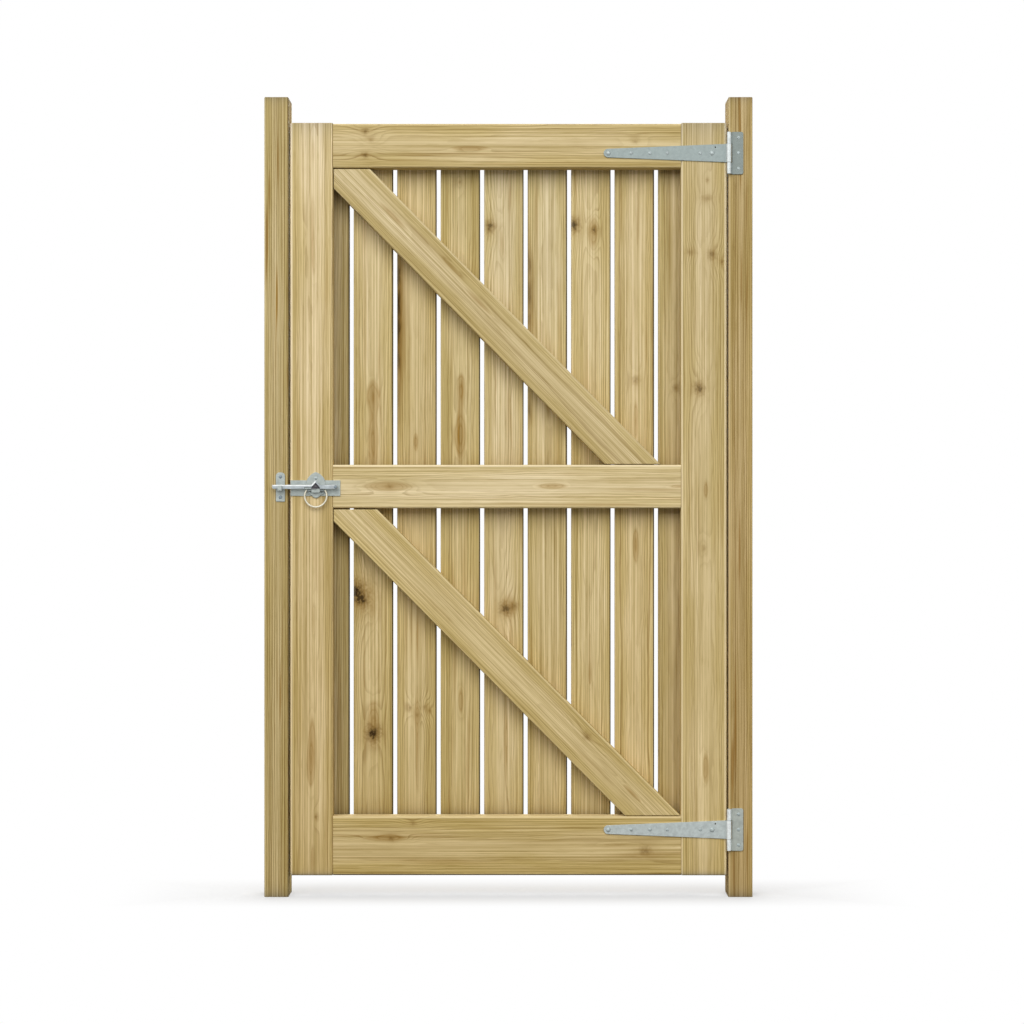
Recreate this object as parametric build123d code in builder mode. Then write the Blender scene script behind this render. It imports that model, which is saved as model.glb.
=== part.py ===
from build123d import *
from collections import namedtuple
import math
import os

# A timber side gate: a framed and braced leaf of upright pales between two posts,
# hung on two tee hinges and closed by a ring latch. All sizes are in millimetres.
# X runs from the latch post to the hinge post, Y from the front to the back, Z up.
# The origin is on the ground, midway across the gate and midway through its depth.

# Leaf frame
leaf_width = 1047
leaf_height = 1806
ground_gap = 52
frame_thickness = 45
latch_stile_width = 102.6
hinge_stile_width = 109.6
top_rail_width = 106
middle_rail_width = 104.4
bottom_rail_width = 142
top_rail_drop = 2
middle_rail_rise = 881
frame_arris = 5
end_arris = 1.5

# Stub tenons of the rails, in mortises in the stiles
tenon_length = 40
tenon_thickness = 15
tenon_shoulder = 12
tenon_clearance = 0.2
mortise_slack = 1

# Braces: head is the run under the upper rail, toe gap is what is left before the hinge stile
brace_width = 94.6
brace_arris = 3
brace_head_gap = 3
brace_cheek_gap = 1.6
brace_foot_gap = 1.2
upper_brace_head = 87.6
upper_brace_toe_gap = 49.2
lower_brace_head = 104.4
lower_brace_toe_gap = 1.2

# Pales on the back of the frame, lapping on to both stiles
pale_count = 9
pale_thickness = 16
pale_gap = 9.7
pale_arris = 3
pale_end_inset = 4
latch_side_lap = 58.6
hinge_side_lap = 43.6

# Wane: where the round of the log shows on a pale's left front edge, at a height above the ground
Wane = namedtuple("Wane", "pale height length depth")
wanes = (
    Wane(pale=3, height=1392, length=300, depth=4.6),
    Wane(pale=3, height=1440, length=120, depth=5.6),
    Wane(pale=3, height=1330, length=90, depth=5.4),
    Wane(pale=6, height=1455, length=230, depth=3.2),
)
wane_round = 30

# Nails through the pales
nail_radius = 1.4
nail_head_radius = 3
nail_head_thickness = 1.1
nail_bite = 26
nail_side = 25
nail_edge = 15
brace_nail_margin = 30

# Posts
post_width = 58
post_depth = 95
post_rise = 62
post_arris = 3
leaf_gap = 4.5

# Fits
hole_clearance = 0.1
plate_hole_clearance = 0.3
running_clearance = 0.05
square_clearance = 0.1
pilot_slack = 1
metal_edge = 0.8

# Tee hinges
upper_hinge_drop = 73
lower_hinge_rise = 110
strap_length = 300
strap_root_width = 44
strap_tip_width = 21
strap_thickness = 3
flap_reach = 35
flap_height = 102
flap_corner = 5
flap_screw_reach = 23.6
flap_screw_spread = 37
pin_radius = 3
pin_inset = 0.5
pin_head_radius = 4.6
pin_head_height = 1.2
pin_end_gap = 0.2
knuckle_radius = 6.2
flap_knuckle_radius = 5
flap_knuckle_inset = 1.4
knuckle_lift = 0.4
knuckle_gap = 0.9
knuckle_web = 8

# Fixings along a strap, measured from the hinge pin
strap_screw_reach = (68, 147, 189, 234)
strap_coach_screw_reach = (40, 289)
spare_hole_reach = 32
spare_hole_rise = 14
spare_hole_radius = 1.8
spare_hole_depth = 12

# Screws with domed heads; bite is the length in the timber
Screw = namedtuple("Screw", "head_radius head_height shank_radius bite")
small_screw = Screw(head_radius=4.2, head_height=2.0, shank_radius=2.1, bite=30)
coach_screw = Screw(head_radius=6.0, head_height=3.4, shank_radius=3.0, bite=36)
low_screw = Screw(head_radius=4.0, head_height=1.2, shank_radius=1.8, bite=12)
pivot_screw = Screw(head_radius=4.0, head_height=2.0, shank_radius=2.5, bite=30)
point_taper = 2
recess_length = 4.4
recess_width = 1.1
recess_depth = 0.9

# Latch: the bar, its plate and its pivot
latch_drop = 1.2
plate_thickness = 2.5
plate_rise = 16
plate_drop = 21.6
plate_edge_inset = 0.5
plate_end_margin = 10.6
bar_height = 10
bar_thickness = 4
bar_gap = 0.3
bar_overhang = 7.5
bar_corner = 2.5
bar_edge = 0.8
hump_outer = 15.5
hump_inner = 10
hump_half_width = 10
hump_foot_drop = 1
pivot_reach = 48
spacer_radius = 5

# Latch: the pointed shield over the plate
shield_thickness = 2
shield_peak = 36
shield_half_width = 24.5
shield_shoulder = 8
shield_flank_bulge = 5
shield_hip = 4
shield_foot_half_width = 9.5
shield_foot_side = 21
shield_drop = 26.6
shield_corner = 3
shield_bevel = 1.2
shield_bevel_run = 1.6
shield_seat_clearance = 0.2
shield_top_screw = 21
shield_side_screw_spread = 15
shield_side_screw_drop = 14

# Latch: the spindle, the eyes of the rings and the lifting finger
spindle_inset = 17.7
spindle_size = 8
spindle_nose = 5
spindle_hole_clearance = 0.8
rivet_radius = 3.7
rivet_height = 1.4
collar_radius = 8
collar_end_gap = 0.3
boss_gap = 0.4
boss_thickness = 7.2
boss_radius = 9
lug_width = 20
lug_height = 9
lug_corner = 3
cam_radius = 5.2
cam_thickness = 2.6
finger_reach = 25.5
finger_lift_gap = 0.3
finger_recess_gap = 1.5
finger_corner = 1.2

# Latch: the rings
ring_radius = 26.4
wire_radius = 2.2
wire_clearance = 0.06
ring_bar_gap = 1.6
ring_centre_drop = 21.6
ring_corner = 3.2

# Latch: the plate of the ring on the far side
rose_width = 32
rose_height = 60
rose_corner = 14
rose_screw_spread = 22

# Latch: the keep on the post
keep_width = 22
keep_height = 70
keep_top_corner = 9
keep_bottom_corner = 2
keep_post_offset = 39
keep_screw_spread = 24.5
hook_width = 10
hook_shelf = 4
hook_gap = 0.4
hook_rise = 3
hook_nose = 5.2
hook_nose_top = 4.4

# Places worked out from the sizes above
leaf_left = -leaf_width / 2
leaf_right = leaf_width / 2
leaf_bottom = ground_gap
leaf_top = leaf_bottom + leaf_height
opening_left = leaf_left + latch_stile_width
opening_right = leaf_right - hinge_stile_width
opening_width = opening_right - opening_left
post_inner = leaf_right + leaf_gap
post_height = leaf_top + post_rise

top_rail_bottom = leaf_top - top_rail_drop - top_rail_width
middle_rail_bottom = leaf_bottom + middle_rail_rise
middle_rail_top = middle_rail_bottom + middle_rail_width
bottom_rail_top = leaf_bottom + bottom_rail_width
rails = {
    "top_rail": (top_rail_bottom, top_rail_width),
    "middle_rail": (middle_rail_bottom, middle_rail_width),
    "bottom_rail": (leaf_bottom, bottom_rail_width),
}

shield_front = plate_thickness + shield_thickness
boss_back = shield_front + boss_gap
boss_front = boss_back + boss_thickness
bar_back = boss_front + bar_gap
bar_front = bar_back + bar_thickness
cam_front = boss_front + cam_thickness
hook_inner = bar_front + hook_gap
hook_front = hook_inner + hook_nose

face_y = (hook_front - post_depth) / 2
frame_mid_y = face_y + frame_thickness / 2
pale_mid_y = face_y + frame_thickness + pale_thickness / 2
pale_back_y = face_y + frame_thickness + pale_thickness

pales_left = opening_left - latch_side_lap
pales_span = opening_width + latch_side_lap + hinge_side_lap
pale_width = (pales_span - (pale_count - 1) * pale_gap) / pale_count
pale_bottom = leaf_bottom + pale_end_inset
pale_length = leaf_height - top_rail_drop - 2 * pale_end_inset

pin_x = post_inner + pin_inset
pin_y = face_y - knuckle_radius - knuckle_lift
hinge_heights = {
    "upper": leaf_top - upper_hinge_drop,
    "lower": leaf_bottom + lower_hinge_rise,
}

latch_z = middle_rail_bottom + middle_rail_width / 2 - latch_drop
spindle_x = pales_left + spindle_inset
pivot_x = spindle_x + pivot_reach
keep_x = -post_inner - post_width + keep_post_offset
bar_tip = keep_x - keep_width / 2 - bar_overhang
plate_left = leaf_left + plate_edge_inset
plate_right = pivot_x + plate_end_margin
plate_height = plate_rise + plate_drop
plate_centre = ((plate_left + plate_right) / 2, latch_z + (plate_rise - plate_drop) / 2)
spindle_hole = spindle_size / math.sqrt(2) + spindle_hole_clearance
ring_hinge_drop = bar_height / 2 + ring_bar_gap + wire_radius


def front_plane(x, z, out=0):
    """A plane facing the viewer, out in front of the timber's face, with its y upwards."""
    return Plane((x, face_y - out, z), x_dir=(1, 0, 0), z_dir=(0, -1, 0))


def back_plane(x, z, out=0):
    """A plane facing backwards, out behind the pales, with its y upwards."""
    return Plane((x, pale_back_y + out, z), x_dir=(-1, 0, 0), z_dir=(0, 1, 0))


def side_plane(x, z):
    """A plane across the gate's thickness: its x points out to the viewer and its y upwards."""
    return Plane((x, face_y, z), x_dir=(0, -1, 0), z_dir=(-1, 0, 0))


def save(piece, name):
    """Label a finished piece and write it."""
    piece.part.label = name
    export_step(piece.part, f"parts/{name}.step")


def within(spots, left, right, margin):
    """Keep the (x, z) spots that lie between two edges, or as near to them as the margin."""
    return [(x, z) for x, z in spots if left - margin < x < right + margin]


# Where the fixings go, as (x, z) spots

def strap_spots(reaches, height):
    return [(pin_x - reach, height) for reach in reaches]


def spare_hole_spot(height):
    return (pin_x - spare_hole_reach, height + spare_hole_rise)


def flap_spots(height):
    spread = (-flap_screw_spread, 0, flap_screw_spread)
    return [(pin_x + flap_screw_reach, height + step) for step in spread]


def pale_centre(number):
    return pales_left + pale_width / 2 + (number - 1) * (pale_width + pale_gap)


def rail_nail_spots(bottom, width):
    """Two nails for each pale, set diagonally across the rail."""
    spots = []
    for number in range(1, pale_count + 1):
        spots.append((pale_centre(number) - nail_side, bottom + width - nail_edge))
        spots.append((pale_centre(number) + nail_side, bottom + nail_edge))
    return spots


def brace_corners(head, toe_gap, lower_rail_top, upper_rail_bottom):
    """Corners of a brace as (x, z), from its head at the latch stile to its toe."""
    left = opening_left + brace_cheek_gap
    top = upper_rail_bottom - brace_head_gap
    bottom = lower_rail_top + brace_foot_gap
    head_end = (left + head, top)
    toe = (opening_right - toe_gap, bottom)
    slope = math.atan2(top - bottom, toe[0] - head_end[0])
    heel = (toe[0] - brace_width / math.sin(slope), bottom)
    cheek = (left, bottom + (heel[0] - left) * math.tan(slope))
    return [(left, top), head_end, toe, heel, cheek]


def brace_nail_spots(corners):
    """One nail for each pale that crosses the brace, on the brace's centre line."""
    _, head_end, toe, heel, _ = corners
    slope = (head_end[1] - toe[1]) / (toe[0] - head_end[0])
    middle = (toe[0] + heel[0]) / 2
    spots = []
    for number in range(1, pale_count + 1):
        x = pale_centre(number)
        z = toe[1] + (middle - x) * slope
        high_enough = toe[1] + brace_nail_margin < z < head_end[1] - brace_nail_margin
        clear_of_stiles = opening_left + brace_nail_margin < x < opening_right - brace_nail_margin
        if high_enough and clear_of_stiles:
            spots.append((x, z))
    return spots


upper_brace_corners = brace_corners(
    upper_brace_head, upper_brace_toe_gap, middle_rail_top, top_rail_bottom
)
lower_brace_corners = brace_corners(
    lower_brace_head, lower_brace_toe_gap, bottom_rail_top, middle_rail_bottom
)
brace_nails = brace_nail_spots(upper_brace_corners) + brace_nail_spots(lower_brace_corners)
rail_nails = [spot for bottom, width in rails.values() for spot in rail_nail_spots(bottom, width)]
nail_spots = rail_nails + brace_nails

strap_screw_spots = [s for z in hinge_heights.values() for s in strap_spots(strap_screw_reach, z)]
strap_coach_spots = [s for z in hinge_heights.values() for s in strap_spots(strap_coach_screw_reach, z)]
flap_screw_spots = [s for z in hinge_heights.values() for s in flap_spots(z)]
keep_screw_spots = [(keep_x, latch_z + keep_screw_spread), (keep_x, latch_z - keep_screw_spread)]
shield_screw_spots = [
    (spindle_x, latch_z + shield_top_screw),
    (spindle_x - shield_side_screw_spread, latch_z - shield_side_screw_drop),
    (spindle_x + shield_side_screw_spread, latch_z - shield_side_screw_drop),
]
rose_screw_spots = [(spindle_x, latch_z + rose_screw_spread), (spindle_x, latch_z - rose_screw_spread)]
spare_hole_spots = [spare_hole_spot(z) for z in hinge_heights.values()]


def front_pilots(spots, screw):
    """Pilot holes bored into the timber from its face, in the piece being built."""
    with Locations(*[front_plane(x, z) for x, z in spots]):
        Hole(screw.shank_radius + hole_clearance, screw.bite + pilot_slack)


def frame_bores(left, right):
    """All holes that cross the frame between two edges, in the frame piece being built."""
    margin = spindle_hole
    for spots, screw in (
        (strap_screw_spots, small_screw),
        (strap_coach_spots, coach_screw),
        (shield_screw_spots, low_screw),
        ([(pivot_x, latch_z)], pivot_screw),
    ):
        here = within(spots, left, right, margin)
        if here:
            front_pilots(here, screw)
    here = within(spare_hole_spots, left, right, -margin)
    if here:
        with Locations(*[front_plane(x, z) for x, z in here]):
            Hole(spare_hole_radius, spare_hole_depth)
    here = within(nail_spots, left, right, margin)
    with Locations(*[back_plane(x, z, -pale_thickness) for x, z in here]):
        Hole(nail_radius + hole_clearance, nail_bite + pilot_slack)
    if within([(spindle_x, latch_z)], left, right, margin):
        with Locations(front_plane(spindle_x, latch_z)):
            Hole(spindle_hole, frame_thickness)


# Timber

def make_post(name, side, screw_spots, screw):
    """A post, with pilot holes for what is screwed to its face; side is -1 or 1 along X."""
    with BuildPart() as post:
        with BuildSketch():
            with Locations((side * (post_inner + post_width / 2), face_y + post_depth / 2)):
                RectangleRounded(post_width, post_depth, post_arris)
        extrude(amount=post_height)
        chamfer(post.edges().group_by(Axis.Z)[-1], end_arris)
        front_pilots(screw_spots, screw)
    save(post, name)


def make_stile(name, left, right, outward):
    """An upright of the leaf, mortised for the three rails; outward is -1 or 1, away from them along X."""
    inner_edge = right if outward < 0 else left
    with BuildPart() as stile:
        with BuildSketch(Plane.XY.offset(leaf_bottom)):
            with Locations(((left + right) / 2, frame_mid_y)):
                RectangleRounded(right - left, frame_thickness, frame_arris)
        extrude(amount=leaf_height)
        chamfer(stile.edges().group_by(Axis.Z)[-1] + stile.edges().group_by(Axis.Z)[0], end_arris)
        with BuildSketch(Plane.YZ.offset(inner_edge)):
            for bottom, width in rails.values():
                with Locations((frame_mid_y, bottom + width / 2)):
                    Rectangle(
                        tenon_thickness + 2 * tenon_clearance,
                        width - 2 * tenon_shoulder + 2 * tenon_clearance,
                    )
        extrude(amount=outward * (tenon_length + mortise_slack), mode=Mode.SUBTRACT)
        frame_bores(left, right)
    save(stile, name)


def make_rail(name):
    """A cross member between the stiles, with a stub tenon at each end."""
    bottom, width = rails[name]
    with BuildPart() as rail:
        with BuildSketch(Plane.YZ.offset(opening_left)):
            with Locations((frame_mid_y, bottom + width / 2)):
                RectangleRounded(frame_thickness, width, frame_arris)
        extrude(amount=opening_width)
        with BuildSketch(Plane.YZ.offset(opening_left - tenon_length)):
            with Locations((frame_mid_y, bottom + width / 2)):
                Rectangle(tenon_thickness, width - 2 * tenon_shoulder)
        extrude(amount=opening_width + 2 * tenon_length)
        frame_bores(opening_left - tenon_length, opening_right + tenon_length)
    save(rail, name)


def make_brace(name, corners):
    """A diagonal, cut to the stile and the rails at its ends."""
    _, head_end, toe, _, _ = corners
    along = Axis((0, 0, 0), (toe[0] - head_end[0], 0, toe[1] - head_end[1]))
    with BuildPart() as brace:
        with BuildSketch(front_plane(0, 0)):
            Polygon(*corners, align=None)
        extrude(amount=-frame_thickness)
        fillet(brace.edges().filter_by(along), brace_arris)
        face_edges = brace.faces().sort_by(Axis.Y)[0].edges()
        chamfer(face_edges - face_edges.filter_by(along), end_arris)
        with Locations(*[back_plane(x, z, -pale_thickness) for x, z in brace_nail_spots(corners)]):
            Hole(nail_radius + hole_clearance, nail_bite + pilot_slack)
    save(brace, name)


def cut_wane(left, wane):
    """Take the round of the log off a left front edge, in the pale being built."""
    half = wane.length / 2
    out = wane_round / math.sqrt(2)
    centre = (left - out, pale_mid_y - pale_thickness / 2 - out, wane.height)
    with BuildSketch(Plane(centre, x_dir=(1, 0, 0), z_dir=(0, -1, 0))) as section:
        with BuildLine():
            Polyline((wane_round, -half), (0, -half), (0, half), (wane_round, half))
            ThreePointArc((wane_round, half), (wane_round + wane.depth, 0), (wane_round, -half))
        make_face()
    revolve(section.sketch, axis=Axis(centre, (0, 0, 1)), mode=Mode.SUBTRACT)


def make_pale(number):
    """An upright board on the back of the frame, with its nail holes."""
    centre = pale_centre(number)
    left = centre - pale_width / 2
    right = centre + pale_width / 2
    with BuildPart() as pale:
        with BuildSketch(Plane.XY.offset(pale_bottom)):
            with Locations((centre, pale_mid_y)):
                RectangleRounded(pale_width, pale_thickness, pale_arris)
        extrude(amount=pale_length)
        chamfer(pale.edges().group_by(Axis.Z)[-1] + pale.edges().group_by(Axis.Z)[0], end_arris)
        for wane in wanes:
            if wane.pale == number:
                cut_wane(left, wane)
        with Locations(*[back_plane(x, z) for x, z in within(nail_spots, left, right, 0)]):
            Hole(nail_radius + hole_clearance, pale_thickness)
        if within([(spindle_x, latch_z)], left, right, spindle_hole):
            with Locations(back_plane(spindle_x, latch_z)):
                Hole(spindle_hole, pale_thickness)
            with Locations(*[back_plane(x, z) for x, z in rose_screw_spots]):
                Hole(low_screw.shank_radius + hole_clearance, low_screw.bite + pilot_slack)
    save(pale, f"pale_{number}")


# Fasteners

def make_fasteners(name, blank, places):
    """Copies of one fastener, seated on the given planes, as separate solids."""
    with BuildPart() as group:
        with Locations(*places):
            add(blank, clean=False)
    save(group, name)


def dome_middle(head_radius, head_height):
    """The point halfway along the arc of a domed head."""
    sphere = (head_radius**2 + head_height**2) / (2 * head_height)
    return (head_radius / 2, head_height - sphere + math.sqrt(sphere**2 - head_radius**2 / 4))


def screw_blank(screw, grip, recess=True):
    """A domed screw along Z, its head seated at zero; grip is the metal that it passes through."""
    tip = -grip - screw.bite
    radius = screw.shank_radius
    with BuildPart() as blank:
        with BuildSketch(Plane.XZ):
            with BuildLine():
                Polyline(
                    (0, tip),
                    (radius, tip + point_taper * radius),
                    (radius, 0),
                    (screw.head_radius, 0),
                )
                ThreePointArc(
                    (screw.head_radius, 0),
                    dome_middle(screw.head_radius, screw.head_height),
                    (0, screw.head_height),
                )
                Line((0, screw.head_height), (0, tip))
            make_face()
        revolve(axis=Axis.Z)
        if recess:
            with BuildSketch(Plane.XY.offset(screw.head_height)):
                Rectangle(recess_length, recess_width)
                Rectangle(recess_width, recess_length)
            extrude(amount=-recess_depth, mode=Mode.SUBTRACT)
    return blank.part


def nail_blank():
    """A flat-headed nail along Z, its head seated at zero."""
    tip = -pale_thickness - nail_bite
    with BuildPart() as nail:
        with BuildSketch(Plane.XZ):
            with BuildLine():
                Polyline(
                    (0, tip),
                    (nail_radius, tip + point_taper * nail_radius),
                    (nail_radius, 0),
                    (nail_head_radius, 0),
                    (nail_head_radius, nail_head_thickness),
                    (0, nail_head_thickness),
                    close=True,
                )
            make_face()
        revolve(axis=Axis.Z)
    return nail.part


# Tee hinges

def make_strap(name, height):
    """The leaf's half of a hinge: a tapered strap rolled round the pin."""
    tip = pin_x - strap_length
    tip_centre = tip + strap_tip_width / 2
    root = pin_x - knuckle_web
    half_root = strap_root_width / 2
    half_tip = strap_tip_width / 2
    with BuildPart() as strap:
        with BuildSketch(front_plane(0, height)):
            with BuildLine():
                Polyline(
                    (tip_centre, -half_tip),
                    (root, -half_root),
                    (root, half_root),
                    (tip_centre, half_tip),
                )
                ThreePointArc((tip_centre, half_tip), (tip, 0), (tip_centre, -half_tip))
            make_face()
        extrude(amount=strap_thickness)
        fillet(strap.faces().sort_by(Axis.Y)[0].edges(), metal_edge)
        with BuildSketch(Plane.XY.offset(height - half_root)):
            Polygon(
                (root - metal_edge, face_y),
                (pin_x, pin_y + knuckle_radius),
                (pin_x, pin_y),
                (root - metal_edge, face_y - strap_thickness),
                align=None,
            )
            with Locations((pin_x, pin_y)):
                Circle(knuckle_radius)
                Circle(pin_radius + running_clearance, mode=Mode.SUBTRACT)
        extrude(amount=strap_root_width)
        for reaches, screw in ((strap_screw_reach, small_screw), (strap_coach_screw_reach, coach_screw)):
            spots = strap_spots(reaches, height)
            with Locations(*[front_plane(x, z, strap_thickness) for x, z in spots]):
                Hole(screw.shank_radius + plate_hole_clearance, strap_thickness)
        with Locations(front_plane(*spare_hole_spot(height), strap_thickness)):
            Hole(spare_hole_radius, strap_thickness)
    save(strap, name)


def make_flap(name, height):
    """The post's half of a hinge: an upright plate with a knuckle above and below the strap's."""
    inner = pin_x + knuckle_web
    outer = pin_x + flap_reach
    half = flap_height / 2
    knuckle_length = half - strap_root_width / 2 - knuckle_gap - flap_knuckle_inset
    with BuildPart() as flap:
        with BuildSketch(front_plane((inner + outer) / 2, height)) as outline:
            Rectangle(outer - inner, flap_height)
            fillet(outline.vertices().group_by(Axis.X)[-1], flap_corner)
        extrude(amount=strap_thickness)
        fillet(flap.faces().sort_by(Axis.Y)[0].edges(), metal_edge)
        lower_end = height - half + flap_knuckle_inset
        upper_start = height + half - flap_knuckle_inset - knuckle_length
        for bottom in (lower_end, upper_start):
            with BuildSketch(Plane.XY.offset(bottom)):
                Polygon(
                    (inner + metal_edge, face_y),
                    (pin_x, pin_y + flap_knuckle_radius),
                    (pin_x, pin_y),
                    (inner + metal_edge, face_y - strap_thickness),
                    align=None,
                )
                with Locations((pin_x, pin_y)):
                    Circle(flap_knuckle_radius)
                    Circle(pin_radius + running_clearance, mode=Mode.SUBTRACT)
            extrude(amount=knuckle_length)
        with Locations(*[front_plane(x, z, strap_thickness) for x, z in flap_spots(height)]):
            Hole(small_screw.shank_radius + plate_hole_clearance, strap_thickness)
    save(flap, name)


def make_pin(name, height):
    """A hinge pin with a domed head at each end."""
    end = flap_height / 2 - flap_knuckle_inset + pin_end_gap
    tip = end + pin_head_height
    middle = dome_middle(pin_head_radius, pin_head_height)
    with BuildPart() as pin:
        with BuildSketch(Plane((pin_x, pin_y, height), x_dir=(1, 0, 0), z_dir=(0, -1, 0))):
            with BuildLine():
                Line((0, -tip), (0, tip))
                ThreePointArc((0, tip), (middle[0], end + middle[1]), (pin_head_radius, end))
                Polyline(
                    (pin_head_radius, end),
                    (pin_radius, end),
                    (pin_radius, -end),
                    (pin_head_radius, -end),
                )
                ThreePointArc((pin_head_radius, -end), (middle[0], -end - middle[1]), (0, -tip))
            make_face()
        revolve(axis=Axis((pin_x, pin_y, height), (0, 0, 1)))
    save(pin, name)


# Latch pieces fixed to the leaf

def make_latch_plate():
    """The plate that the bar runs across, flush with the leaf's free edge."""
    with BuildPart() as plate:
        with BuildSketch(front_plane(*plate_centre)):
            Rectangle(plate_right - plate_left, plate_height)
        extrude(amount=plate_thickness)
        fillet(plate.faces().sort_by(Axis.Y)[0].edges(), metal_edge)
        with Locations(front_plane(spindle_x, latch_z, plate_thickness)):
            Hole(collar_radius + plate_hole_clearance, plate_thickness)
        with Locations(front_plane(pivot_x, latch_z, plate_thickness)):
            Hole(pivot_screw.shank_radius + plate_hole_clearance, plate_thickness)
        with Locations(*[front_plane(x, z, plate_thickness) for x, z in shield_screw_spots[1:]]):
            Hole(low_screw.shank_radius + plate_hole_clearance, plate_thickness)
    save(plate, "latch_plate")


def make_latch_shield():
    """The pointed shield that straddles the plate and carries the front of the spindle."""
    with BuildPart() as shield:
        with BuildSketch(front_plane(spindle_x, latch_z)) as outline:
            with BuildLine():
                Line((-shield_half_width, -shield_hip), (-shield_half_width, shield_shoulder))
                SagittaArc((-shield_half_width, shield_shoulder), (0, shield_peak), shield_flank_bulge)
                SagittaArc((0, shield_peak), (shield_half_width, shield_shoulder), shield_flank_bulge)
                Line((shield_half_width, shield_shoulder), (shield_half_width, -shield_hip))
                TangentArc(
                    (shield_half_width, -shield_hip),
                    (shield_foot_half_width, -shield_foot_side),
                    tangent=(0, -1),
                )
                ThreePointArc(
                    (shield_foot_half_width, -shield_foot_side),
                    (0, -shield_drop),
                    (-shield_foot_half_width, -shield_foot_side),
                )
                TangentArc(
                    (-shield_half_width, -shield_hip),
                    (-shield_foot_half_width, -shield_foot_side),
                    tangent=(0, -1),
                )
            make_face()
            peak = outline.vertices().sort_by(Axis.Y)[-1]
            sides_of_foot = outline.vertices().sort_by(Axis.Y)[:2]
            fillet([peak, *sides_of_foot], shield_corner)
        extrude(amount=shield_front)
        front = shield.faces().sort_by(Axis.Y)[0]
        chamfer(front.edges(), shield_bevel_run, shield_bevel, reference=front)
        with BuildSketch(front_plane(*plate_centre)):
            Rectangle(plate_right - plate_left, plate_height + 2 * shield_seat_clearance)
        extrude(amount=plate_thickness, mode=Mode.SUBTRACT)
        with Locations(front_plane(spindle_x, latch_z, shield_front)):
            Hole(collar_radius + running_clearance, shield_front)
        with Locations(*[front_plane(x, z, shield_front) for x, z in shield_screw_spots]):
            Hole(low_screw.shank_radius + plate_hole_clearance, shield_front)
    save(shield, "latch_shield")


def make_bar_pivot():
    """The shouldered screw that the bar turns on, and the tube that holds the bar off the plate."""
    seat = bar_front + bar_gap
    make_fasteners("bar_pivot", screw_blank(pivot_screw, seat), [front_plane(pivot_x, latch_z, seat)])
    with BuildPart() as spacer:
        with BuildSketch(front_plane(pivot_x, latch_z, plate_thickness)):
            Circle(spacer_radius)
            Circle(pivot_screw.shank_radius + running_clearance, mode=Mode.SUBTRACT)
        extrude(amount=boss_front - plate_thickness)
    save(spacer, "bar_spacer")


def make_rear_rose():
    """The plate that carries the far end of the spindle, on the back of the pales."""
    with BuildPart() as rose:
        with BuildSketch(back_plane(spindle_x, latch_z)):
            RectangleRounded(rose_width, rose_height, rose_corner)
        extrude(amount=plate_thickness)
        fillet(rose.faces().sort_by(Axis.Y)[-1].edges(), metal_edge)
        with Locations(back_plane(spindle_x, latch_z, plate_thickness)):
            Hole(collar_radius + running_clearance, plate_thickness)
        with Locations(*[back_plane(x, z, plate_thickness) for x, z in rose_screw_spots]):
            Hole(low_screw.shank_radius + plate_hole_clearance, plate_thickness)
    save(rose, "rear_rose")


# Latch pieces that move

def make_latch_bar():
    """The bar, humped over the spindle and cut away underneath for the lifting finger."""
    half = bar_height / 2
    hump_foot = -hump_foot_drop
    slope = (hump_inner - hump_foot) / hump_half_width
    hump_run = (hump_outer - half) / slope
    recess_end = -finger_reach - finger_recess_gap
    tip = bar_tip - spindle_x
    with BuildPart() as bar:
        with BuildSketch(front_plane(spindle_x, latch_z, bar_back)):
            with BuildLine():
                Polyline(
                    (pivot_reach, half),
                    (hump_run, half),
                    (0, hump_outer),
                    (-hump_run, half),
                    (tip, half),
                    (tip, -half + bar_corner),
                    (tip + bar_corner, -half),
                    (recess_end, -half),
                    (recess_end, hump_foot),
                    (-hump_half_width, hump_foot),
                    (0, hump_inner),
                    (hump_half_width, hump_foot),
                    (hump_half_width, -half),
                    (pivot_reach, -half),
                )
                ThreePointArc((pivot_reach, -half), (pivot_reach + half, 0), (pivot_reach, half))
            make_face()
        extrude(amount=bar_thickness)
        chamfer(bar.faces().sort_by(Axis.Y)[0].edges(), bar_edge)
        with Locations(front_plane(pivot_x, latch_z, bar_front)):
            Hole(pivot_screw.shank_radius + running_clearance, bar_thickness)
    save(bar, "latch_bar")


def make_spindle():
    """The square bar through the leaf, with a smaller nose for the cam and riveted ends."""
    rear_end = frame_thickness + pale_thickness + plate_thickness + boss_gap + boss_thickness
    middle = dome_middle(rivet_radius, rivet_height)
    with BuildPart() as spindle:
        with BuildSketch(front_plane(spindle_x, latch_z, boss_front)):
            Rectangle(spindle_size, spindle_size)
        extrude(amount=-boss_front - rear_end)
        with BuildSketch(front_plane(spindle_x, latch_z, boss_front)):
            Rectangle(spindle_nose, spindle_nose)
        extrude(amount=cam_thickness)
        for seat, outward in ((cam_front, 1), (-rear_end, -1)):
            with BuildSketch(side_plane(spindle_x, latch_z)):
                with BuildLine():
                    Line((seat, 0), (seat, rivet_radius))
                    ThreePointArc(
                        (seat, rivet_radius),
                        (seat + outward * middle[1], middle[0]),
                        (seat + outward * rivet_height, 0),
                    )
                    Line((seat + outward * rivet_height, 0), (seat, 0))
                make_face()
            revolve(axis=Axis((spindle_x, face_y, latch_z), (0, -1, 0)))
    save(spindle, "ring_spindle")


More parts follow.
